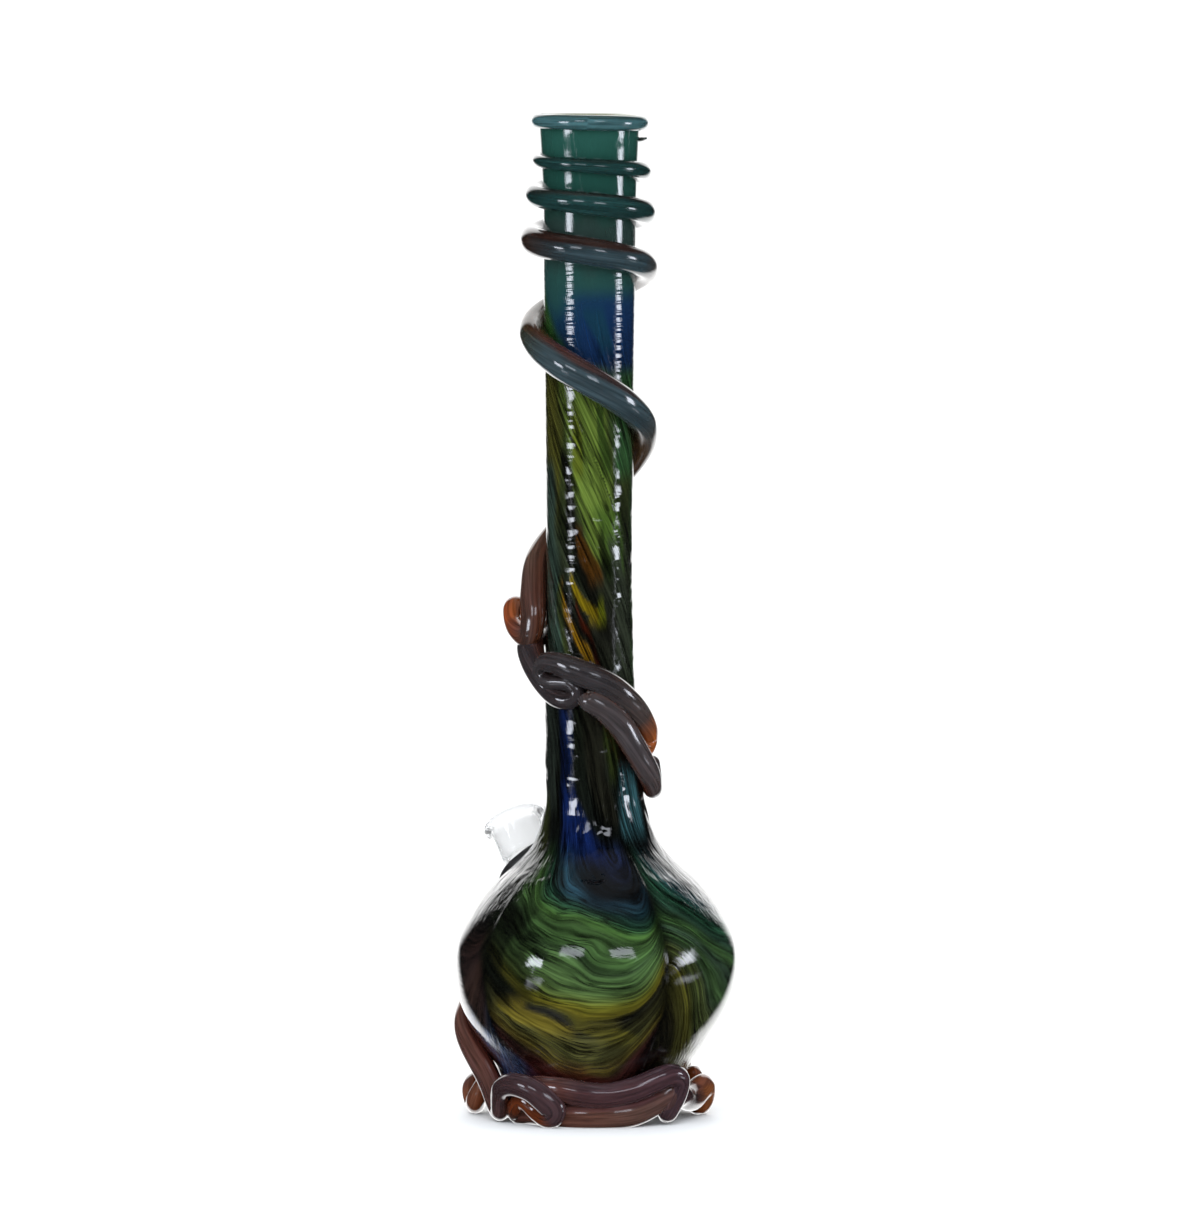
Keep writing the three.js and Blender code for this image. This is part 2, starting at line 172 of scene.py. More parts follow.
def ramp(x, stops):
    """Colours for values x from [(value, rrggbb, brightness), ...]; a brightness of 1 can be left out."""
    at = [s[0] for s in stops]
    colours = np.array([srgb(s[1]) * (s[2] if len(s) > 2 else 1) for s in stops])
    return np.stack([np.interp(x, at, colours[:, k]) for k in range(3)], axis=-1)


# ---- the wall ----

def axis_x(z):
    """The bulb, the neck and the base aren't quite on one axis."""
    return NECK_AXIS_X * smoothstep(z, 100, 185) + BASE_AXIS_X * (1 - smoothstep(z, 30, 62))


def catmull(points, count):
    """Evenly timed points on a uniform Catmull-Rom curve."""
    p = np.array(points, float)
    spans = len(p) - 1
    s = np.linspace(0, spans, count)
    i = np.minimum(s.astype(int), spans - 1)
    t = (s - i)[:, None]
    before, start = p[np.maximum(i - 1, 0)], p[i]
    end, after = p[i + 1], p[np.minimum(i + 2, spans)]
    v0, v1 = (end - before) / 2, (after - start) / 2
    return ((2 * start - 2 * end + v0 + v1) * t ** 3
            + (3 * end - 3 * start - 2 * v0 - v1) * t ** 2 + v0 * t + start)


wall = catmull(OUTER_WALL, 1600)


def seat_radius(z, distance):
    """The smallest radius at this height that is the given distance from the wall."""
    z, distance = np.atleast_1d(z).astype(float), np.atleast_1d(distance).astype(float)
    rise = np.abs(wall[None, ::2, 0] - z[:, None])
    reach = distance[:, None] ** 2 - rise ** 2
    reached = np.where(reach > 0, wall[None, ::2, 1] + np.sqrt(np.maximum(reach, 0)), 0)
    return reached.max(axis=1)


# ---- meshes ----

GLASS_DEPTH = 0.34          # the glass is darker than its colours are written, since it is strongly lit


def mesh_object(name, points, faces, attributes=None, smooth=True):
    """A mesh object from points in millimetres, with {name: per-vertex array} attributes."""
    mesh = bpy.data.meshes.new(name)
    mesh.from_pydata((np.asarray(points) * MM).tolist(), [], faces)
    for key, values in (attributes or {}).items():
        values = np.asarray(values, float)
        if values.ndim == 1:
            mesh.attributes.new(key, "FLOAT", "POINT").data.foreach_set("value", values)
        elif key == "tint":
            colour = np.concatenate([values * GLASS_DEPTH, np.ones((len(values), 1))], axis=1)
            mesh.attributes.new(key, "FLOAT_COLOR", "POINT").data.foreach_set("color", colour.ravel())
        else:
            mesh.attributes.new(key, "FLOAT_VECTOR", "POINT").data.foreach_set("vector", values.ravel())
    mesh.validate()
    if smooth:
        mesh.shade_smooth()
    obj = bpy.data.objects.new(name, mesh)
    bpy.context.scene.collection.objects.link(obj)
    return obj


def grid_faces(rows, sides, closed_rows=False):
    """Quads of a tube: rows of points, each row closed round."""
    faces = []
    for i in range(rows if closed_rows else rows - 1):
        a, b = i * sides, ((i + 1) % rows) * sides
        for j in range(sides):
            k = (j + 1) % sides
            faces.append((a + j, a + k, b + k, b + j))
    return faces


def tube_faces(rows, sides):
    """Quads of a tube and a flat face on each end."""
    faces = grid_faces(rows, sides)
    faces.append(tuple(range(sides - 1, -1, -1)))
    faces.append(tuple((rows - 1) * sides + j for j in range(sides)))
    return faces


# ---- vessel: the flow of the coloured glass ----
# Colour was laid on in rings, combed up at a few seams, and drawn out and twisted with the neck.

# To the right of the right seam the bands fall steeply: depth in millimetres, width in degrees.
RIGHT_SEAM = 29.0
FALL_DEPTH, FALL_WIDTH = 26, 15
SEAMS = np.array([-194.0, -122.0, -51.0, RIGHT_SEAM, 98.0, 166.0, 238.0])


def sector_of(phi):
    """Each angle's sector, and its left and right seam."""
    index = np.clip(np.searchsorted(SEAMS, phi, side="right") - 1, 0, len(SEAMS) - 2)
    return index, SEAMS[index], SEAMS[index + 1]


HEIGHT_STEP = 0.5
heights_up = np.linspace(0, 410, 821)


def added_up(rate):
    """The running sum of a rate given at each of heights_up."""
    return np.concatenate([[0], np.cumsum((rate[1:] + rate[:-1]) / 2 * HEIGHT_STEP)])


# The neck was drawn out to nine times its length, and twisted, in degrees a millimetre.
stretched = added_up(1 / (1 + 8 * smoothstep(heights_up, 90, 124)))
twisted = added_up(0.25 * smoothstep(heights_up, 100, 112) + 1.15 * smoothstep(heights_up, 140, 185)
                   - 0.95 * smoothstep(heights_up, 285, 330))


def wrap_angle(a):
    return (a + 180) % 360 - 180


def flow_fields(phi, z):
    """The twisted angle, and the ring that each point's glass came from (millimetres of bulb height)."""
    ring = np.interp(z, heights_up, stretched)
    turn = wrap_angle(phi + np.interp(z, heights_up, twisted))
    swirl = round_noise(turn, 2.2, ring / 16) * 5
    _, left, right = sector_of(turn)
    past_right_seam = left == RIGHT_SEAM
    low = left + (right - left) * (0.62 + 0.24 * smoothstep(z, 45, 90))
    low = low + swirl * 0.6
    a = np.clip((low - turn) / np.maximum(low - left, 1), 0, 1.2) ** 1.5
    b = np.clip((turn - low) / np.maximum(right - low, 1), 0, 1.2) ** 3
    lift = np.where(turn < low, a * 25, b * lerp(27, 5, smoothstep(z, 66, 90)))
    past_seam = np.maximum(turn - RIGHT_SEAM, 0)
    fall = FALL_DEPTH * np.exp(-(past_seam / FALL_WIDTH) ** 2)
    fall = fall * smoothstep(z, 12, 34) * (1 - smoothstep(z, 62, 88))
    lift = lift + np.where(past_right_seam, fall, 0)
    wander = round_noise(turn, 6, ring / 7 + 9, 3) * np.where(past_right_seam, 0.7, 1.7)
    return turn, ring - lift + swirl * 0.6 + wander * smoothstep(110 - z, 0, 20)


# ---- vessel: shape ----

SIDES = 240
OUTER_ROWS = 330


def wall_ripple(x, y, z, turn, ring):
    """How far the blown surface stands off the ideal wall, in millimetres."""
    wide = value_noise(stack(x / 26, y / 26, z / 34 + 3.1)) * 0.35
    fine = value_noise(stack(x / 7, y / 7, z / 4.6)) * 0.05
    drawn = round_noise(turn, 5, ring / 1.4) * 0.06
    polished = value_noise(stack(x / 9 + 7, y / 9, z / 3.4)) * 0.03
    combed = round_noise(turn, 5, ring / 2.4, 4) * 0.12 + round_noise(turn, 9, ring / 1.5 + 4, 8) * 0.05
    combed *= 0.22 + 0.9 * smoothstep(z, 74, 92) + 0.6 * (1 - smoothstep(z, 32, 46))
    bulb, upper = 1 - smoothstep(z, 92, 120), smoothstep(z, 268, 296)
    return wide * (0.35 + 0.65 * bulb) + lerp(lerp(drawn + fine, polished, upper), combed, bulb)


def vessel_rows():
    """Outer wall rows [z, r] evenly along the wall, then over the rim and down the inside."""
    along = np.concatenate([[0], np.cumsum(np.hypot(*np.diff(wall, axis=0).T))])
    outer = np.stack([np.interp(np.linspace(0, along[-1], OUTER_ROWS), along, wall[:, k])
                      for k in (0, 1)], axis=1)
    slope = np.gradient(wall[:, 1]) / np.maximum(np.gradient(wall[:, 0]), 1e-6)
    thick = (BULB_WALL + (NECK_WALL - BULB_WALL) * smoothstep(wall[:, 0], 100, 150)
             + (BASE_WALL - BULB_WALL) * (1 - smoothstep(wall[:, 0], 4, 34)))
    tilt = 1 / np.sqrt(1 + slope ** 2)
    inner = np.stack([wall[:, 0] + slope * tilt * thick, wall[:, 1] - tilt * thick], axis=1)
    floor = OUTER_WALL[0][0] + BASE_WALL
    inner = inner[inner[:, 0] > floor + 1][::-28]
    edge_out, edge_in = outer[-1, 1], inner[0, 1]
    middle, half = (edge_out + edge_in) / 2, (edge_out - edge_in) / 2
    rim = [(OUTER_WALL[-1][0] + RIM_CROWN * math.sin(a), middle + half * math.cos(a))
           for a in np.linspace(0.25, 2.9, 8)]
    return outer, np.array(rim), np.concatenate([inner[1:], [(floor, inner[-1, 1] - 6), (floor, 2)]])


outer_rows, rim_rows, inner_rows = vessel_rows()
row_table = np.concatenate([[(outer_rows[0, 0], 2.0)], outer_rows, rim_rows, inner_rows])
phi_ring = np.arange(SIDES) * 360 / SIDES - 180
Z = np.repeat(row_table[:, 0], SIDES)
R = np.repeat(row_table[:, 1], SIDES)
PHI = np.tile(phi_ring, len(row_table))
on_outer = np.repeat(np.arange(len(row_table)) <= OUTER_ROWS, SIDES)
sin_phi, cos_phi = np.sin(np.radians(PHI)), np.cos(np.radians(PHI))
turn, ring = flow_fields(PHI, Z)
bump = np.where(on_outer, wall_ripple(R * sin_phi, R * cos_phi, Z, turn, ring), 0)
bump *= smoothstep(Z, 2.5, 9)
wall_points = stack(axis_x(Z) + (R + bump) * sin_phi, -(R + bump) * cos_phi, Z)

# ---- vessel: colours ----

INSIDE_TONE = "7c8c3a"
BACK_STREAK_TONE = "6f7c2a"

# Bands of the bulb, (height that the glass came from, colour).
BULB_BANDS = [
    (8, "3a1c18"), (14, "4a2420"), (17, "3a2c1c"), (20, "7c6c1e"), (24, "746c2a"), (28, "60602e"),
    (33, "666532"), (37, "565632"), (40, "25252a"), (42, "40401f"), (44, "908610"), (48, "828416"),
    (51, "6c8034"), (56, "5a7a3e"), (60, "54763e"), (63, "5e8646"), (67, "3c5632"), (70, "537c3e"),
    (76, "3c5a2c"), (79, "527f36"), (83, "2d5a3c"), (86, "1c3a36"), (89, "27566a"), (92, "17303c"),
    (95, "10161e"), (98, "1b3a7c"), (104, "1d3f92"), (112, "1a2f6c"),
]
DARK_BANDS = [
    (8, "1c2a44"), (16, "243a5c"), (22, "1c2430"), (30, "342624"), (45, "443028"), (60, "342624"),
    (72, "33231f"), (84, "1a1a18"), (96, "262a1a"), (104, "1a1a14"),
]
RIGHT_BANDS = [
    (0, "2a2818"), (14, "55551c"), (22, "646218"), (30, "4c5a2a"), (38, "5d6b33"), (44, "31422c"),
    (50, "4a6f3a"), (56, "3a5240"), (62, "4e7a3c"), (68, "2d4c3a"), (74, "2f6a4a"), (82, "1f4a52"),
    (90, "14222a"), (104, "101a18"),
]
BACK_BANDS = [
    (6, "3c2420"), (18, "54402a"), (26, "6a6424"), (36, "2c4434"), (44, "3c6a44"), (52, "23446a"),
    (60, "3c7448"), (70, "5a7c34"), (78, "244a5c"), (86, "1c3f80"), (94, "131c2a"), (104, "1c3a72"),
]


# Strokes: ([(height, angle, half width), ...], colour, strength), painted in turn.
BULB_STROKES = [
    ([(42, -72, 6), (30, -60, 12), (16, -48, 16)], "2a5488", 1.0),
    ([(52, 24, 4), (40, 14, 7), (26, 6, 9)], "2a2c18", 0.6),
    ([(92, -52, 7), (80, -40, 6), (72, -22, 4)], "10140f", 0.75),
    ([(22, -22, 22), (12, -10, 40)], "5c1f1a", 0.8),
    ([(86, -46, 9), (72, -41, 13), (60, -39, 13), (52, -38, 9)], "161e10", 0.72),
    ([(49, -40, 10), (45, -30, 10), (41, -18, 9)], "a08e08", 0.75),
    ([(41, -2, 10), (38, 10, 9)], "8c841c", 0.6),
    ([(112, 4, 8), (101, 10, 16), (90, 14, 20)], "0c1016", 0.75),
    ([(88, -38, 9), (76, -44, 7), (62, -46, 5), (50, -45, 5)], "12160f", 0.7),
]


def bulb_colour():
    layers = [BACK_BANDS, DARK_BANDS, BULB_BANDS, RIGHT_BANDS, BACK_BANDS, BACK_BANDS]
    sector, _, _ = sector_of(turn)
    wobble = round_noise(PHI, 3, ring / 9 + 5) * 1.6
    colour = np.zeros((len(Z), 3))
    for k, bands in enumerate(layers):
        here = sector == k
        colour[here] = ramp((ring + wobble)[here] + (7 if k == 4 else 0), bands)
    nearest = np.abs(turn[:, None] + wobble[:, None] * 1.2 - SEAMS[None, :]).min(axis=1)
    colour = colour * (1 - 0.8 * np.exp(-(nearest / 3.2) ** 2))[:, None]
    patchy = round_noise(PHI, 4, Z / 11, 2)
    colour = colour * (1 + 0.5 * patchy)[:, None]
    colour = paint(colour, PHI, Z, BULB_STROKES)
    return lerp(colour, colour.mean(axis=1, keepdims=True), 0.12) * 1.2


# Neck: (height, colour), with strokes over it.
NECK_BASE = [
    (108, "1a2020"), (130, "1c221c"), (166, "242a1e"), (180, "2a2e22"), (200, "31332a"), (230, "3c4630"),
    (262, "475428"), (298, "4c5c2e"), (306, "1b3654"), (322, "1a415e"), (330, "2c5a5a"),
    (340, "33605a"), (352, "3e544f"), (360, "39544d"), (366, "2f6156"), (384, "2b6256"),
    (396, "346c60"), (404, "2c6456"),
]
NECK_STROKES = [
    ([(330, 40, 70), (304, 50, 70)], "1b3a68", 0.85),
    ([(331, -95, 24), (316, -78, 34), (300, -40, 34)], "35642a", 0.95),
    ([(325, 5, 14), (312, 22, 9)], "1f4f5a", 0.6),
    ([(299, -70, 30), (262, -62, 22), (236, -58, 12)], "646428", 0.95),
    ([(299, 60, 30), (262, 55, 22)], "447646", 0.85),
    ([(299, -10, 30), (275, -4, 26), (255, 6, 26), (228, 20, 20)], "8aa848", 1.0),
    ([(288, 14, 5), (262, 22, 6)], "3c5a24", 0.8),
    ([(284, -22, 7), (262, -14, 6)], "86942c", 0.8),
    ([(262, -76, 22), (225, -64, 20), (195, -52, 17), (176, -40, 13)], "4e6658", 1.0),
    ([(268, -34, 5), (240, -24, 8), (214, 2, 9), (196, 22, 8)], "20211a", 0.95),
    ([(245, 24, 20), (222, 38, 16)], "55782f", 0.8),
    ([(232, 34, 10), (205, 50, 16), (180, 52, 18)], "4c5644", 0.9),
    ([(236, -14, 7), (228, -4, 10), (220, 8, 11)], "6c4412", 0.9),
    ([(236, 14, 7), (222, 26, 6)], "15140f", 0.8),
    ([(218, -25, 3), (211, -15, 7), (206, 0, 10), (204, 8, 9)], "a08a16", 1.0),
    ([(207, 14, 6), (204, 17, 6)], "87901c", 0.9),
    ([(214, -38, 3), (206, -31, 5), (197, -18, 6), (188, -1, 6), (181, 9, 5)], "b0821a", 1.0),
    ([(208, -18, 2), (200, -8, 3), (190, 5, 3), (183, 12, 3)], "5c2410", 0.95),
    ([(216, -42, 4), (204, -42, 6), (190, -32, 6), (180, -22, 5)], "55602c", 0.8),
    ([(262, 74, 10), (215, 78, 9), (176, 72, 9)], "46603c", 0.9),
    ([(170, -56, 22), (128, -66, 18)], "38423a", 0.9),
    ([(170, -33, 9), (150, -33, 9), (136, -33, 10)], "16295c", 0.9),
    ([(132, -33, 11), (124, -28, 14), (116, -18, 18), (106, -8, 22)], "1a3478", 1.0),
    ([(168, 6, 16), (140, 4, 14), (122, 14, 12)], "2a2a20", 0.9),
    ([(172, 26, 8), (140, 24, 8)], "3e4a22", 0.9),
    ([(140, 46, 16), (118, 44, 16)], "4a7e86", 0.9),
    ([(128, -76, 12), (108, -62, 12)], "4a5228", 0.75),
]


def paint(colour, phi, z, strokes):
    """Lays soft-edged strokes over the colours."""
    for places, tone, strength in strokes:
        places = sorted(places)
        heights = [p[0] for p in places]
        centre = np.interp(z, heights, [p[1] for p in places])
        width = np.interp(z, heights, [p[2] for p in places])
        fray = round_noise(phi, 5, z / 14, heights[0]) * 4
        side = np.abs(wrap_angle(phi - centre) + fray) / width
        ends = (smoothstep(z, heights[0] - 7, heights[0] + 2)
                * (1 - smoothstep(z, heights[-1] - 2, heights[-1] + 7)))
        weight = (strength * ends * (1 - smoothstep(side, 0.62, 1.25)))[:, None]
        colour = lerp(colour, srgb(tone), weight)
    return colour


def vessel_colour():
    neck = ramp(Z + round_noise(PHI, 3, Z / 20) * 3, NECK_BASE)
    tone = round_noise(turn, 4.5, Z / 30 + 2)
    back = 1 - smoothstep(cos_phi, -0.4, 0.1)
    neck = neck * (1 + 0.45 * tone[:, None] * (1 - smoothstep(Z, 300, 335))[:, None])
    streak = smoothstep(tone, 0.0, 0.5) * back * (1 - smoothstep(Z, 300, 330)) * smoothstep(Z, 120, 150)
    neck = lerp(neck, srgb(BACK_STREAK_TONE), streak[:, None] * 0.7)
    neck = paint(neck, PHI, Z, NECK_STROKES)
    mixed = lerp(bulb_colour(), neck, smoothstep(Z, 100, 116)[:, None])
    mixed = mixed * lerp(0.82, 1.0, smoothstep(Z, 296, 320))[:, None]
    return np.where(on_outer[:, None], mixed, srgb(INSIDE_TONE))


turn_rad = np.radians(turn)
front = 1 - smoothstep(np.abs(sin_phi), 0.36, 0.62)
flow = stack(np.sin(turn_rad), np.cos(turn_rad), ring)
vessel = mesh_object("vessel_glass", wall_points, tube_faces(len(row_table), SIDES), {
    "tint": vessel_colour(),
    "flow": flow,
    "neck": smoothstep(Z, 98, 122),
    "calm": 0.97 * smoothstep(Z, 294, 330),
    "moulded": 1 - smoothstep(Z, 104, 124),
    "hammered": smoothstep(Z, 118, 140) * (1 - smoothstep(Z, 285, 305)),
    "squiggled": smoothstep(Z, 86, 100) * (1 - smoothstep(Z, 124, 146)),
    "brushed": np.maximum(smoothstep(Z, 74, 90) * (1 - front), 0.6 * (1 - smoothstep(Z, 26, 40))),
    "ticked": smoothstep(Z, 286, 300) * (1 - smoothstep(Z, 338, 356)),
})


# ---- glass trails ----

def cubic_track(points):
    """Cubic interpolation of a trail's points, timed by the square root of the gaps between them."""
    p = np.array(points, float)
    radians = np.radians(p[:, 0])
    seat = seat_radius(p[:, 1], p[:, 2] * ROPE_OUTWARD + 0.3 + p[:, 3])
    places = stack(axis_x(p[:, 1]) + seat * np.sin(radians), -seat * np.cos(radians), p[:, 1])
    gaps = np.sqrt(np.linalg.norm(np.diff(places, axis=0), axis=1))
    times = np.concatenate([[0], np.cumsum(gaps)])

    def evaluate(t):
        i = np.clip(np.searchsorted(times, t, side="right") - 1, 0, len(times) - 2)
        t0, t1 = times[i], times[i + 1]
        before = np.where(i > 0, times[np.maximum(i - 1, 0)], 2 * t0 - t1)
        after = np.where(i < len(times) - 2, times[np.minimum(i + 2, len(times) - 1)], 2 * t1 - t0)
        p_before = p[np.where(i > 0, i - 1, i + 1)]
        p_after = p[np.where(i < len(times) - 2, np.minimum(i + 2, len(times) - 1), i)]
        half = (t1 - t0) / 2
        wp, wn = (half / (t0 - before))[:, None], (half / (after - t1))[:, None]
        u = ((t - t0) / (t1 - t0))[:, None]
        u2, u3 = u * u, u * u * u
        return ((-wp * u3 + 2 * wp * u2 - wp * u) * p_before
                + ((1 + wp) * u3 + (-1.5 - 2 * wp) * u2 + (-0.5 + wp) * u + 1) * p[i]
                + ((-1 - wn) * u3 + (1.5 + wn) * u2 + 0.5 * u) * p[i + 1]
                + (wn * u3 - wn * u2) * p_after)

    return times, evaluate


TRAIL_SAMPLES = 9000
TRAIL_STEP = 0.9


def trail(points):
    """Middle points, radii and frames along a trail, about one a step.

    Progress is the trail's point number, counted along the path."""
    times, evaluate = cubic_track(points)
    t = np.linspace(0, times[-1], TRAIL_SAMPLES)
    angle, z, radius, lift = evaluate(t).T
    seat = seat_radius(z, np.maximum(radius * ROPE_OUTWARD + FUSED + lift, 0.3))
    middle = stack(axis_x(z) + seat * np.sin(np.radians(angle)), -seat * np.cos(np.radians(angle)), z)
    along = np.concatenate([[0], np.cumsum(np.linalg.norm(np.diff(middle, axis=0), axis=1))])
    at = np.linspace(0, along[-1], int(along[-1] / TRAIL_STEP))
    middle = np.stack([np.interp(at, along, middle[:, k]) for k in range(3)], axis=1)
    radius = np.interp(at, along, radius)
    progress = np.interp(at, along, np.interp(t, times, np.arange(len(times))))
    kernel = np.array([1, 2, 3, 2, 1]) / 9
    for k in range(3):
        padded = np.pad(middle[:, k], 2, mode="reflect", reflect_type="odd")
        middle[:, k] = np.convolve(padded, kernel, mode="valid")
    tangent = np.gradient(middle, axis=0)
    tangent /= np.linalg.norm(tangent, axis=1)[:, None]
    outward = middle - stack(axis_x(middle[:, 2]), 0, middle[:, 2])
    outward -= (outward * tangent).sum(1)[:, None] * tangent
    outward /= np.linalg.norm(outward, axis=1)[:, None]
    across = np.cross(outward, tangent)
    return {"at": at, "progress": progress, "middle": middle, "radius": radius, "tangent": tangent,
            "outward": outward, "across": across}


def rope_points(path, sides, ridges, seed):
    """Rings of a rope with rounded ends, with its along and round coordinates."""
    caps = np.radians([88, 66, 44, 22])
    first = [(0, -math.sin(c), math.cos(c)) for c in caps]
    last = [(len(path["at"]) - 1, math.sin(c), math.cos(c)) for c in caps[::-1]]
    rings = first + [(i, 0.0, 1.0) for i in range(len(path["at"]))] + last
    index = np.array([r[0] for r in rings])
    beyond, shrink = np.array([r[1] for r in rings]), np.array([r[2] for r in rings])
    b = around(sides)
    radius, middle = path["radius"][index], path["middle"][index]
    at = path["at"][index] + beyond * radius
    round_x, round_y = np.cos(b)[None, :], np.sin(b)[None, :]
    along = at[:, None] + 0 * round_x
    spin = b[None, :] + along / 60
    n = value_noise(stack((np.cos(spin) * 2.6).ravel() + seed, (np.sin(spin) * 2.6).ravel(),
                          (along / 22).ravel())).reshape(along.shape)
    slow = value_noise(stack((along / 9).ravel(), 0.5 + seed, 0.5)).reshape(along.shape)
    r = radius[:, None] * shrink[:, None] * (1 + ridges * n + 0.025 * slow)
    out = (r * round_x * ROPE_OUTWARD)[..., None] * path["outward"][index][:, None, :]
    side = (r * round_y * ROPE_ACROSS)[..., None] * path["across"][index][:, None, :]
    end = (beyond * radius)[:, None, None] * path["tangent"][index][:, None, :]
    points = middle[:, None, :] + out + side + end
    return points.reshape(-1, 3), index, along.ravel(), np.tile(b, len(index)), len(index)


def rope_object(name, path, stops, sides=36, ridges=0.03, seed=0.0):
    """stops: (point number, brightness, body, upper edge, inner side), in rising order; the inner side
    carries painted shade.
    """
    points, index, along, b, rows = rope_points(path, sides, ridges, seed)
    points[:, 2] = np.maximum(points[:, 2], 0)
    key = np.repeat(path["progress"][index], sides)
    body, edge, inner = (ramp(key, [(number, tones[k], brightness) for number, brightness, *tones in stops])
                         for k in range(3))
    up = points[:, 2] - np.repeat(path["middle"][index][:, 2], sides)
    up = up / np.repeat(path["radius"][index], sides)
    inward = 1 - smoothstep(np.cos(b), -0.5, 0.35)
    n = value_noise(stack(np.cos(b) * 2 + seed, np.sin(b) * 2, along / 18)) * 0.5
    colour = lerp(body, edge, smoothstep(up + n, 0.35, 0.75)[:, None])
    # Painted shade on warm glass colour: the side facing the wall, in the crease where the rope lies on the
    # glass, takes the inner-side colour.
    colour = lerp(colour, inner, (inward * 0.85)[:, None])
    flow = stack(np.cos(b), np.sin(b), along)
    faces = [face[::-1] for face in tube_faces(rows, sides)]
    return mesh_object(name, points, faces, {"tint": colour, "flow": flow})


def foot_points():
    feet = [(angle + further, z, radius * size, lift + (reach if lift > 3 else 0))
            for angle, reach, size in PLAIN_FEET for further, z, radius, lift in FOOT_FOLD]
    return FOOT_START + feet + FOOT_END


# Trail tones: (point number, brightness, body, upper edge, inner side). The inner side is warm glass colour
# with painted shade.
# The bright orange stops, 27.2 to 29.2 and 47.6 to 49.2, are amber glass with a painted glow of light
# passing through it.
NECK_TRAIL_TONES = [
    (0, 0.8, "2a4f4c", "24403c", "1c302c"), (7, 0.83, "2c5452", "2a403c", "24302c"),
    (9.5, 0.74, "2e5553", "3a3c38", "2c2c28"), (11, 0.68, "3c5a5c", "54382c", "4a2c20"),
    (12.2, 0.55, "5a3c2e", "4a2c22", "4a2c20"), (12.8, 0.59, "4a6068", "4a3630", "44342c"),
    (13.6, 0.78, "4c626a", "58403a", "54382c"), (14.2, 0.89, "7a5434", "6c4830", "6a4424"),
    (15.5, 0.78, "6c6a48", "70603c", "6a5430"), (16.4, 0.68, "5e6456", "6e4c34", "5c3c28"),
    (17.2, 0.79, "54666c", "70443a", "5c342c"), (18.2, 0.77, "52666e", "5f4a48", "54423c"),
    (19.2, 0.85, "4c5f66", "5a504c", "604830"), (20.2, 0.94, "64584e", "6a5848", "6a4a2c"),
    (22.5, 1.02, "6a564c", "785c4c", "6a4434"), (24, 0.96, "6a4a40", "6a4c44", "6a3c2c"),
    (26, 0.7, "6a5048", "5c4c4c", "8a4c2c"), (27.2, 1, "b05a34", "9a5030", "c87040"),
    (29.2, 1.08, "b45c34", "a05030", "d07a44"), (30.2, 0.64, "5c5052", "5c4c4c", "9a562e"),
    (32, 0.63, "5a5052", "54484a", "6a3c30"), (36, 0.56, "5c5456", "5a4c4c", "6a4030"),
    (40, 0.56, "5c5658", "5c4e4e", "643c30"), (45, 0.55, "625c5e", "5c4e4c", "54382e"),
    (46.8, 0.76, "6a5c58", "745a4c", "a0562c"), (47.6, 1.28, "b46434", "a85c34", "c87040"),
    (49.2, 1.32, "b46434", "a85c34", "c87040"), (50.5, 0.81, "5c5250", "7c5440", "b0602c"),
    (56, 0.71, "6a6264", "6a5c5c", "9a502c"), (60, 0.73, "7a6a68", "6c5c5c", "8c4a30"),
    (63, 0.75, "6c5e5e", "64504c", "84402c"),
]
# The bright orange stops, 13.4 to 15.6, 31.4 to 55 and 70, are amber glass with a painted glow of light
# passing through it.
FOOT_TONES = [
    (0, 1.44, "744a3e", "7c5448", "7a3c2c"), (3, 1.27, "6c4a44", "744e44", "6a3028"),
    (6, 0.81, "6a4c4a", "6a4a48", "7a3c28"), (8, 0.69, "6c5254", "745a5c", "8a4424"),
    (11, 0.7, "6a5054", "705860", "8a4022"), (12.6, 0.7, "6a5054", "66484c", "7a3020"),
    (13.4, 1.16, "7c3e22", "744030", "a04a20"), (15.6, 1.16, "7c3e22", "6c4034", "a04a20"),
    (16.6, 1, "4a3836", "4c393a", "6a341c"), (19, 1.05, "7a4a3c", "7a4c44", "a8501c"),
    (22, 1.08, "74564c", "6c4848", "7a2c26"), (25, 1.11, "745450", "6c464a", "7a2c28"),
    (27, 0.73, "6c5054", "6c4c52", "6c3028"), (30, 0.73, "64484a", "64484c", "6a3430"),
    (31.4, 1.53, "8a5230", "7a4a38", "94481c"), (34, 1.53, "8a5230", "7a4a38", "94481c"),
    (40, 1.53, "7a4c38", "6c4840", "84401c"), (52, 1.54, "7a4c38", "6c4840", "84401c"),
    (55, 1.55, "74483c", "6c4840", "84401c"), (57, 0.74, "6c4a4c", "6c5054", "702c28"),
    (60, 0.74, "6a4c52", "6e525a", "702a26"), (63, 0.74, "6a5058", "6c545c", "6c2c28"),
    (66, 0.74, "665052", "6a5458", "6c3028"), (70, 1.56, "96562c", "8a5030", "a0521c"),
]

neck_rope = rope_object("neck_trail_glass", trail(NECK_TRAIL), NECK_TRAIL_TONES, seed=1.5)
foot_rope = rope_object("foot_wrap_glass", trail(foot_points()), FOOT_TONES, seed=6.5)


# ---- lip ----

LIP_TONE, LIP_OUTER_TONE, LIP_TOP_TONE, LIP_INNER_TONE = "3a5e60", "568287", "4a6664", "5c6c34"


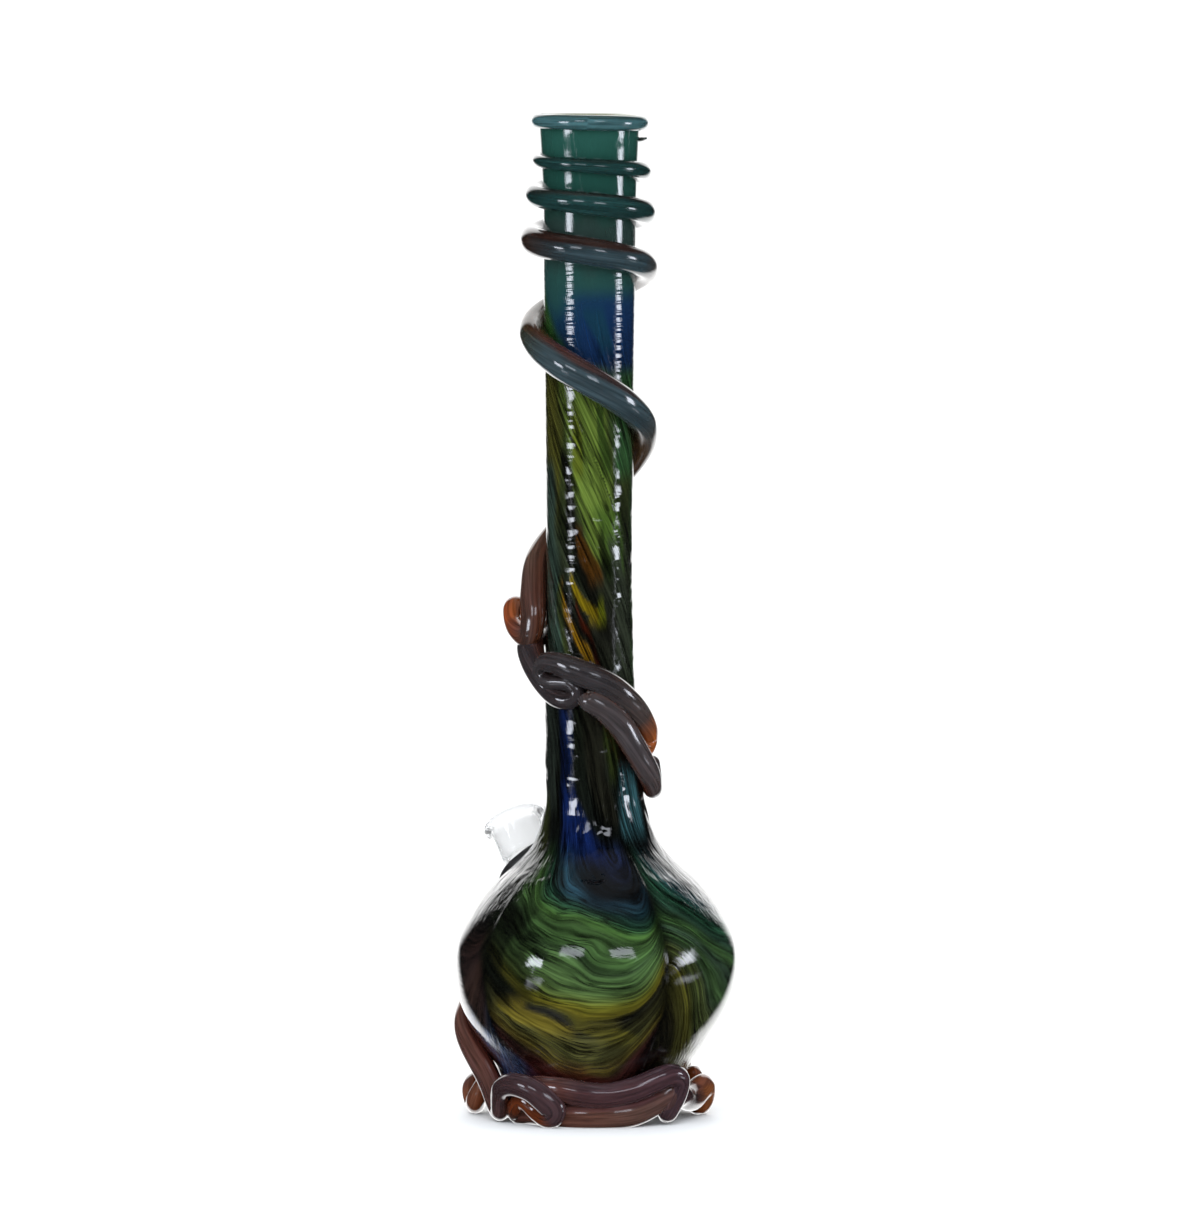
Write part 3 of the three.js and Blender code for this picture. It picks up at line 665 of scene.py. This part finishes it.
def lip_object():
    sides, steps = 160, 28
    phi, section = around(sides), around(steps)
    middle = (LIP["low"] + LIP["high"]) / 2
    half = (LIP["high"] - LIP["low"]) / 2
    inner, outer = LIP["inner"] - 0.9, LIP["outer"]
    rows = []
    for b in section:
        wobble = value_noise(stack(np.sin(phi) * 2.4 + 4, np.cos(phi) * 2.4, math.cos(b))) * 0.22
        radius = (inner + outer) / 2 + (outer - inner) / 2 * math.cos(b) + wobble
        height = half * math.sin(b) * (1 + 0.04 * np.sin(2 * phi + 1))
        rows.append(stack(radius * np.sin(phi), -radius * np.cos(phi), height))
    points = np.concatenate(rows)
    tilt = math.radians(LIP["tilt"])
    x, y, z = points.T
    points = stack(x * math.cos(tilt) + z * math.sin(tilt) + float(axis_x(middle)), y,
                   -x * math.sin(tilt) + z * math.cos(tilt) + middle)
    b = np.repeat(section, sides)
    colour = lerp(srgb(LIP_TONE), srgb(LIP_OUTER_TONE), smoothstep(np.cos(b - 0.3), 0.2, 0.9)[:, None])
    colour = lerp(colour, srgb(LIP_TOP_TONE), smoothstep(np.sin(b), 0.4, 0.9)[:, None])
    colour = lerp(colour, srgb(LIP_INNER_TONE), (1 - smoothstep(np.cos(b), -0.9, -0.3))[:, None])
    flow = stack(np.cos(b), np.sin(b), np.tile(phi, steps) * 22)
    faces = grid_faces(steps, sides, closed_rows=True)
    return mesh_object("lip_wrap_glass", points, faces, {"tint": colour, "flow": flow})


lip = lip_object()

# ---- downstem and grommet ----

side_1 = np.cross(STEM_AXIS, (0, 0, 1.0))
side_1 /= np.linalg.norm(side_1)
side_2 = np.cross(STEM_AXIS, side_1)


def on_stem(radius, angle, height):
    return (STEM_SEAT + np.multiply.outer(radius * np.cos(angle), side_1)
            + np.multiply.outer(radius * np.sin(angle), side_2) + np.multiply.outer(height, STEM_AXIS))


def stem_ring(radius, height, sides=STEM_SIDES):
    """A ring round the downstem's axis, with one height or a height for each of its points."""
    return on_stem(np.full(sides, radius), around(sides), np.full(sides, height))


def stem_lathe(name, rings):
    """A closed section of rings joined up round the downstem's axis."""
    faces = [face[::-1] for face in grid_faces(len(rings), STEM_SIDES, closed_rows=True)]
    return mesh_object(name, np.concatenate(rings), faces)


def stem_turned(name, profile):
    """A closed profile of (height, radius) turned round the downstem's axis."""
    return stem_lathe(name, [stem_ring(radius, height) for height, radius in profile])


def arc(height, radius, size, start, stop, count):
    """Points round a corner's centre, angles in degrees from outward towards up."""
    angles = np.radians(np.linspace(start, stop, count))
    return [(height + size * math.sin(a), radius + size * math.cos(a)) for a in angles]


def socket_object():
    s = SOCKET
    rim, bead, depth = s["rim"], s["bead"], s["bead_depth"]
    profile = [(s["floor"] + 1, s["taper_bottom"]), (rim - 1.0, s["taper_top"])]
    profile += arc(rim - 0.9, s["taper_top"] + 1.1, 0.9, 170, 90, 4)
    profile += arc(rim - depth / 2, bead - depth / 2, depth / 2, 80, -80, 12)
    profile += [(rim - depth - 0.6, s["body"] + 0.25), (rim - depth - 1.6, s["body"]),
                (s["foot"] + 5.2, s["body"])]
    profile += arc(s["foot"] + 4.4, s["body"] - 2.2, 2.2, 0, -75, 7)
    profile += [(s["foot"] + 1.4, STEM_TUBE["outer"] + 0.5), (s["foot"], STEM_TUBE["outer"]),
                (s["foot"], STEM_TUBE["inner"]), (s["floor"] - 1.2, STEM_TUBE["inner"] + 0.9)]
    return stem_turned("socket_glass", profile)


def tube_object():
    """The tube, with its lower end melted round."""
    bottom, top, outer, inner = (STEM_TUBE[key] for key in ("bottom", "top", "outer", "inner"))
    return stem_turned("stem_tube_glass", [
        (bottom, inner + 0.95), (bottom + 0.5, outer - 0.15), (bottom + 1, outer), (top, outer),
        (top, inner), (bottom + 1, inner), (bottom + 0.5, inner + 0.15)])


socket = socket_object()
tube = tube_object()


def glass_height(radius, angle, stand_off):
    """How far along the stem's axis a line beside it is the given distance off the glass."""
    low, high = np.full(len(angle), -14.0), np.full(len(angle), 22.0)
    radius = np.broadcast_to(radius, angle.shape)
    for _ in range(22):
        h = (low + high) / 2
        p = on_stem(radius, angle, 0 * h) + h[:, None] * STEM_AXIS
        limit = seat_radius(p[:, 2], np.full(len(h), stand_off))
        outside = np.hypot(p[:, 0] - axis_x(p[:, 2]), p[:, 1]) > limit
        high, low = np.where(outside, h, high), np.where(outside, low, h)
    return h


# Rubber grommet: the bore and top, (height along the axis, radius), then the flange that lies on the
# glass, (distance off the glass, radius), then the part inside the hole, (height, radius).
GROMMET_TOP = [(-8.5, 8.05), (2, 8.05), (6.0, 8.05), (6.5, 8.4), (6.7, 9.0), (6.7, 10.0), (6.5, 10.6)]
GROMMET_FLANGE = [
    (5.5, 10.95), (5.5, 12.2), (5.4, 13.6), (5.0, 14.9), (4.3, 15.6), (3.2, 15.9), (1.6, 15.8),
    (0.3, 15.2), (0.2, 12.0), (0.2, 10.6),
]
GROMMET_INSIDE = [(-1.6, 10.0), (-4.4, 10.4), (-4.8, 11.6), (-6.8, 11.8), (-8.2, 11.0)]


def grommet_object():
    angle = around(STEM_SIDES)
    rings = [stem_ring(radius, height) for height, radius in GROMMET_TOP]
    rings += [stem_ring(radius, glass_height(radius, angle, off)) for off, radius in GROMMET_FLANGE]
    rings += [stem_ring(radius, height) for height, radius in GROMMET_INSIDE]
    return stem_lathe("rubber_grommet", rings)


grommet = grommet_object()


def drill_vessel():
    """Cuts the hole for the grommet through the shoulder."""
    sides, reach = 64, 17.0
    ends = [stem_ring(STEM_HOLE_RADIUS, height, sides) for height in (-reach, reach)]
    drill = mesh_object("stem_drill", np.concatenate(ends), tube_faces(2, sides), smooth=False)
    cut = vessel.modifiers.new("hole", "BOOLEAN")
    cut.operation, cut.solver, cut.object = "DIFFERENCE", "EXACT", drill
    bpy.context.view_layer.update()
    depsgraph = bpy.context.evaluated_depsgraph_get()
    made = bpy.data.meshes.new_from_object(vessel.evaluated_get(depsgraph))
    vessel.modifiers.remove(cut)
    vessel.data = made
    bpy.data.objects.remove(drill)


drill_vessel()


# ---- materials ----

class Nodes:
    """A new node tree, with short calls for adding and linking its nodes."""

    def __init__(self, name):
        self.material = bpy.data.materials.new(name)
        self.material.use_nodes = True
        self.tree = self.material.node_tree
        self.shader = self.tree.nodes["Principled BSDF"]

    def add(self, kind, values=None, **settings):
        node = self.tree.nodes.new(kind)
        for key, value in settings.items():
            setattr(node, key, value)
        for key, value in (values or {}).items():
            if isinstance(value, bpy.types.NodeSocket):
                self.tree.links.new(value, node.inputs[key])
            else:
                node.inputs[key].default_value = value
        return node

    def attribute(self, name, output="Fac"):
        return self.add("ShaderNodeAttribute", attribute_name=name).outputs[output]

    def position(self):
        return self.add("ShaderNodeTexCoord").outputs["Object"]

    def facing(self, blend):
        return self.add("ShaderNodeLayerWeight", {"Blend": blend}).outputs["Facing"]

    def times(self, a, b):
        return self.maths("MULTIPLY", a, b)

    def plus(self, a, b):
        return self.maths("ADD", a, b)

    def maths(self, operation, a, b=0.0, clamp=False):
        return self.add("ShaderNodeMath", {0: a, 1: b}, operation=operation, use_clamp=clamp).outputs[0]

    def noise(self, vector, scale=1.0, detail=3.0, roughness=0.55, distortion=0.0):
        return self.add("ShaderNodeTexNoise", {
            "Vector": vector, "Scale": scale, "Detail": detail, "Roughness": roughness,
            "Distortion": distortion}).outputs["Fac"]

    def noise_over(self, vector, scale, shift, *look):
        """Noise stretched and shifted along each axis; look is detail, roughness and distortion."""
        mapping = self.add("ShaderNodeMapping", {"Vector": vector, "Scale": scale, "Location": shift})
        return self.noise(mapping.outputs[0], 1.0, *look)

    def stops(self, factor, places):
        """A colour ramp with grey or coloured stops: [(position, value or colour), ...]."""
        node = self.add("ShaderNodeValToRGB", {"Fac": factor})
        elements = node.color_ramp.elements
        while len(elements) < len(places):
            elements.new(0.5)
        for element, (position, value) in zip(elements, places):
            element.position = position
            rgb = (value,) * 3 if isinstance(value, (int, float)) else tuple(value)
            element.color = (*rgb, 1.0)
        return node.outputs["Color"]

    def mix(self, factor, a, b, blend="MIX"):
        node = self.add("ShaderNodeMix", data_type="RGBA", blend_type=blend, clamp_factor=True)
        for socket, value in ((node.inputs[0], factor), (node.inputs[6], a), (node.inputs[7], b)):
            if isinstance(value, bpy.types.NodeSocket):
                self.tree.links.new(value, socket)
            elif isinstance(value, float):
                socket.default_value = value
            else:
                socket.default_value = (*value, 1.0)
        return node.outputs[2]

    def multiplied(self, a, b):
        return self.mix(1.0, a, b, "MULTIPLY")

    def bump(self, height, strength, distance, normal=None):
        values = {"Height": height, "Strength": strength, "Distance": distance}
        if normal:
            values["Normal"] = normal
        return self.add("ShaderNodeBump", values).outputs["Normal"]

    def set(self, **values):
        for key, value in values.items():
            socket = self.shader.inputs[key.replace("_", " ")]
            if isinstance(value, bpy.types.NodeSocket):
                self.tree.links.new(value, socket)
            else:
                socket.default_value = value


UNSHIFTED = (0.0, 0.0, 0.0)
COAT = {"Coat_Weight": 0.6, "Coat_Roughness": 0.03, "Coat_IOR": 1.5}
# Pale tone of the painted reflection on the edges of the trails and the lip.
PAINTED_RIM_REFLECTION_TONE = (0.75, 0.72, 0.70)
# Grey of the painted shade along the edges of the clear glass.
PAINTED_EDGE_SHADE_TONE = (0.42, 0.44, 0.45)


def body_glass():
    """Streaked, combed colours under clear glass. The streaks follow the flow."""
    n = Nodes("body_glass")
    tint = n.attribute("tint", "Color")
    flow = n.attribute("flow", "Vector")
    neck = n.attribute("neck")
    bulb_streak = n.noise_over(flow, (2.0, 2.0, 0.55), UNSHIFTED, 3.0, 0.5, 0.4)
    neck_streak = n.noise_over(flow, (13.0, 13.0, 0.16), (5.0, 1.0, 3.0), 5.0, 0.62, 0.25)
    streak = n.mix(neck, bulb_streak, neck_streak)
    drips = n.noise_over(flow, (6.5, 6.5, 0.75), (1.0, 7.0, 2.0), 4.0, 0.62, 0.6)
    drips = n.stops(drips, [(0.36, 0.22), (0.47, 0.85), (0.60, 1.15), (0.72, 1.35)])
    calm = n.attribute("calm")
    light = n.stops(streak, [(0.30, 0.28), (0.44, 0.72), (0.56, 1.12), (0.70, 1.6)])
    light = n.mix(n.times(neck, 0.85), light, n.multiplied(light, drips))
    light = n.mix(calm, light, (1.0, 1.0, 1.0))
    colour = n.multiplied(tint, light)
    bulb_fine = n.noise_over(flow, (2.4, 2.4, 0.75), (2.0, 8.0, 4.0), 3.0, 0.5, 0.3)
    neck_fine = n.noise_over(flow, (12.0, 12.0, 0.35), (7.0, 2.0, 1.0), 3.0, 0.5, 0.3)
    fine = n.mix(neck, bulb_fine, neck_fine)
    thread = n.maths("ABSOLUTE", n.maths("SUBTRACT", fine, 0.5))
    line = n.stops(thread, [(0.0, 0.05), (0.028, 0.3), (0.085, 1.0)])
    patches = n.noise_over(flow, (1.6, 1.6, 0.12), (9.0, 4.0, 2.0), 2.0)
    patches = n.maths("SUBTRACT", n.stops(patches, [(0.38, 0.0), (0.54, 1.0)]), calm, clamp=True)
    colour = n.mix(patches, colour, n.multiplied(colour, line))
    position = n.position()
    ripple = n.noise_over(position, (90.0, 90.0, 190.0), UNSHIFTED, 2.0, 0.5, 0.1)
    soft = n.bump(n.mix(0.5, ripple, streak), 1.0, 0.00012)
    dents = n.noise_over(position, (70.0, 70.0, 200.0), (0.3, 0.6, 0.1), 1.0, 0.5, 0.2)
    uneven = n.stops(n.noise_over(position, (30.0, 30.0, 34.0), (0.5, 0.2, 0.8), 1.0),
                     [(0.42, 0.5), (0.6, 3.2)])
    squiggles = n.noise_over(position, (125.0, 125.0, 85.0), (0.7, 0.2, 0.4), 1.0, 0.5, 0.6)
    combed = n.noise_over(flow, (7.0, 7.0, 1.1), (4.0, 6.0, 1.0), 3.0, 0.6, 0.3)
    drawn = n.noise_over(flow, (24.0, 24.0, 0.30), (2.0, 5.0, 3.0), 3.0, 0.6, 0.3)
    ticks = n.noise_over(position, (80.0, 80.0, 620.0), UNSHIFTED, 1.0, 0.5, 0.2)
    relief = n.mix(n.attribute("brushed"), n.times(combed, 0.12), n.times(drawn, 1.2))
    relief = n.times(relief, n.attribute("moulded"))
    relief = n.plus(relief, n.times(n.times(dents, uneven), n.attribute("hammered")))
    relief = n.plus(relief, n.times(n.times(squiggles, 2.8), n.attribute("squiggled")))
    relief = n.plus(relief, n.times(n.times(ticks, 0.7), n.attribute("ticked")))
    normal = n.bump(relief, 1.0, 0.00030, soft)
    n.set(Base_Color=colour, Roughness=0.07, IOR=1.5, Specular_IOR_Level=0.5, Normal=normal, **COAT)
    n.set(Coat_Normal=normal)
    return n.material


def rope_glass(name, streak_scale, seed):
    """Pulled glass with fine lengthwise streaks, and a painted pale reflection where it is seen edge on."""
    n = Nodes(name)
    tint = n.attribute("tint", "Color")
    flow = n.attribute("flow", "Vector")
    broad = n.noise_over(flow, (2.2, 2.2, 0.035), (seed, 0.0, 0.0), 3.0, 0.55, 0.2)
    fine = n.noise_over(flow, (streak_scale, streak_scale, 0.045), (0.0, seed, 0.0), 4.0, 0.6, 0.15)
    light = n.stops(broad, [(0.34, 0.72), (0.5, 1.0), (0.68, 1.32)])
    colour = n.multiplied(tint, light)
    lines = n.stops(fine, [(0.36, 0.72), (0.5, 1.0), (0.64, 1.28)])
    colour = n.multiplied(colour, lines)
    # Painted reflection: the colour turns pale where the glass is seen edge on.
    rim = n.stops(n.facing(0.35), [(0.72, 0.0), (1.0, 0.5)])
    colour = n.mix(rim, colour, PAINTED_RIM_REFLECTION_TONE)
    n.set(Base_Color=colour, Roughness=0.09, IOR=1.5, Subsurface_Weight=0.15, Subsurface_Scale=0.003,
          Subsurface_Radius=(1.0, 0.45, 0.3), Normal=n.bump(fine, 0.12, 0.0008), **COAT)
    return n.material


def clear_glass(name, roughness, tone, clearness=1.0):
    """Clear or ground glass, with a painted grey shade outline where it is seen edge on."""
    n = Nodes(name)
    grain = n.noise(n.position(), 900.0, 2.0)
    # Painted shade: the glass greys where it is seen edge on.
    edge = n.stops(n.facing(0.4), [(0.55, 0.0), (0.98, 0.8)])
    n.set(Base_Color=n.mix(edge, tone, PAINTED_EDGE_SHADE_TONE), Roughness=roughness, IOR=1.47,
          Transmission_Weight=clearness, Normal=n.bump(grain, 0.02 + roughness * 0.3, 0.0002))
    return n.material


def rubber():
    n = Nodes("grommet_rubber")
    position = n.position()
    grain = n.noise(position, 1400.0, 4.0)
    wear = n.noise(position, 160.0, 3.0)
    colour = n.stops(wear, [(0.35, 0.010), (0.7, 0.030)])
    rough = n.stops(wear, [(0.3, 0.42), (0.7, 0.6)])
    n.set(Base_Color=colour, Roughness=rough, Normal=n.bump(grain, 0.25, 0.0002))
    return n.material


def give(obj, material, body, node):
    obj.data.materials.clear()
    obj.data.materials.append(material)
    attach(obj, body)
    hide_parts(node)


give(vessel, body_glass(), "vessel", "vessel")
give(lip, rope_glass("lip_glass", 4.0, 3.0), "vessel", "lip_wrap")
give(neck_rope, rope_glass("trail_glass", 5.5, 1.0), "vessel", "neck_trail")
give(foot_rope, rope_glass("foot_glass", 5.5, 8.0), "vessel", "foot_wrap")
give(grommet, rubber(), "vessel", "grommet")
give(socket, clear_glass("joint_glass", 0.08, (1.0, 1.0, 0.995), 0.86),
     "downstem", "joint_socket")
give(tube, clear_glass("clear_glass", 0.02, (0.97, 0.99, 0.985)), "downstem", "stem_tube")

# The joint's taper, the first strip of its faces, is ground.
socket.data.materials.append(clear_glass("ground_glass", 0.45, (0.98, 0.98, 0.98), 0.8))
for polygon in socket.data.polygons[:STEM_SIDES]:
    polygon.material_index = 1


# ---- floor, lights, world and camera, in metres ----

def make_floor():
    size = 30.0
    corners = [(-size, -size, 0), (size, -size, 0), (size, size, 0), (-size, size, 0)]
    mesh = bpy.data.meshes.new("floor")
    mesh.from_pydata(corners, [], [(0, 1, 2, 3)])
    obj = bpy.data.objects.new("floor", mesh)
    bpy.context.scene.collection.objects.link(obj)
    n = Nodes("floor")
    n.set(Base_Color=(0.93, 0.95, 0.95, 1.0), Roughness=0.6, Specular_IOR_Level=0.2)
    mesh.materials.append(n.material)
    obj.visible_glossy = False


COOL_WHITE = (0.86, 0.90, 1.0)


def area_light(name, azimuth, height, distance, width, tall, radiance, aim=0.2, shiny=True):
    """A soft box facing the object. Azimuth 0 is at the front and 90 on the right, in degrees."""
    light = bpy.data.lights.new(name, "AREA")
    light.shape = "RECTANGLE"
    light.size, light.size_y = width, tall
    light.energy = radiance * math.pi * width * tall
    light.color = COOL_WHITE
    obj = bpy.data.objects.new(name, light)
    a = math.radians(azimuth)
    obj.location = (distance * math.sin(a), -distance * math.cos(a), height)
    obj.rotation_euler = (Vector((0, 0, aim)) - obj.location).to_track_quat("-Z", "Y").to_euler()
    obj.visible_camera = False
    obj.visible_glossy = shiny
    obj.visible_transmission = False
    bpy.context.scene.collection.objects.link(obj)


def make_world():
    """White to the camera, through glass and as light. Reflections see dark sides and a bright back."""
    world = bpy.data.worlds.new("studio")
    bpy.context.scene.world = world
    world.use_nodes = True
    tree = world.node_tree
    tree.nodes.clear()

    def node(kind, **values):
        made = tree.nodes.new(kind)
        for key, value in values.items():
            setattr(made, key, value)
        return made

    def link_maths(operation, first, second):
        made = node("ShaderNodeMath", operation=operation)
        for slot, value in enumerate((first, second)):
            if isinstance(value, float):
                made.inputs[slot].default_value = value
            else:
                tree.links.new(value, made.inputs[slot])
        return made.outputs[0]

    def ranged(value, low, high, start, end):
        made = node("ShaderNodeMapRange", interpolation_type="SMOOTHSTEP")
        for key, number in (("From Min", low), ("From Max", high), ("To Min", start), ("To Max", end)):
            made.inputs[key].default_value = number
        tree.links.new(value, made.inputs["Value"])
        return made.outputs[0]

    split = node("ShaderNodeSeparateXYZ")
    tree.links.new(node("ShaderNodeTexCoord").outputs["Generated"], split.inputs[0])
    tilt = link_maths("MULTIPLY", link_maths("ABSOLUTE", split.outputs["Z"], 0.0), 0.5)
    towards = link_maths("ADD", split.outputs["Y"], tilt)
    behind = ranged(towards, 0.87, 0.985, 0.012, 1.7)
    dark_edge = ranged(split.outputs["Y"], 0.95, 1.0, 1.0, 0.75)
    overhead = ranged(split.outputs["Z"], 0.8, 1.0, 0.0, 0.12)
    mirrored = link_maths("MAXIMUM", link_maths("MULTIPLY", behind, dark_edge), overhead)
    path = node("ShaderNodeLightPath")
    plain = link_maths("MAXIMUM", path.outputs["Is Camera Ray"], path.outputs["Is Transmission Ray"])
    plain = link_maths("MAXIMUM", plain, path.outputs["Is Diffuse Ray"])
    background = node("ShaderNodeBackground")
    tree.links.new(link_maths("MAXIMUM", mirrored, plain), background.inputs["Strength"])
    background.inputs["Color"].default_value = (1.1, 1.1, 1.1, 1.0)
    tree.links.new(background.outputs[0], node("ShaderNodeOutputWorld").inputs["Surface"])


CAMERA_PLACE = (0.0012, -3.9, 0.470)
CAMERA_DOWN = 3.852         # degrees below level
CAMERA_LENS = 289.222       # millimetres, on a sensor 36 mm wide


def make_camera():
    data = bpy.data.cameras.new("camera")
    data.sensor_width = 36.0
    data.lens = CAMERA_LENS
    obj = bpy.data.objects.new("camera", data)
    obj.location = CAMERA_PLACE
    obj.rotation_euler = (math.radians(90 - CAMERA_DOWN), 0, 0)
    bpy.context.scene.collection.objects.link(obj)
    bpy.context.scene.camera = obj


make_floor()
area_light("left_box", -51, 0.36, 1.5, 0.40, 0.30, 11, aim=0.2)
area_light("right_box", 79, 0.36, 1.5, 0.36, 0.30, 11, aim=0.2)
area_light("left_strip", -52, 0.08, 1.5, 0.03, 0.22, 3.5, aim=0.08)
area_light("right_strip", 67, 0.08, 1.5, 0.025, 0.22, 6, aim=0.08)
area_light("left_high", -20, 0.85, 1.5, 0.5, 0.3, 4, aim=0.2)
area_light("right_high", 20, 0.85, 1.5, 0.5, 0.3, 4, aim=0.2)
area_light("left_mirrored", -51, -0.24, 1.5, 0.40, 0.16, 2.6, aim=0.0)
area_light("right_mirrored", 79, -0.24, 1.5, 0.40, 0.16, 2.6, aim=0.0)
area_light("front_fill", 0, 1.3, 2.0, 1.8, 1.4, 4.0, aim=0.2, shiny=False)
make_world()
make_camera()
bpy.context.scene.view_settings.view_transform = "Standard"
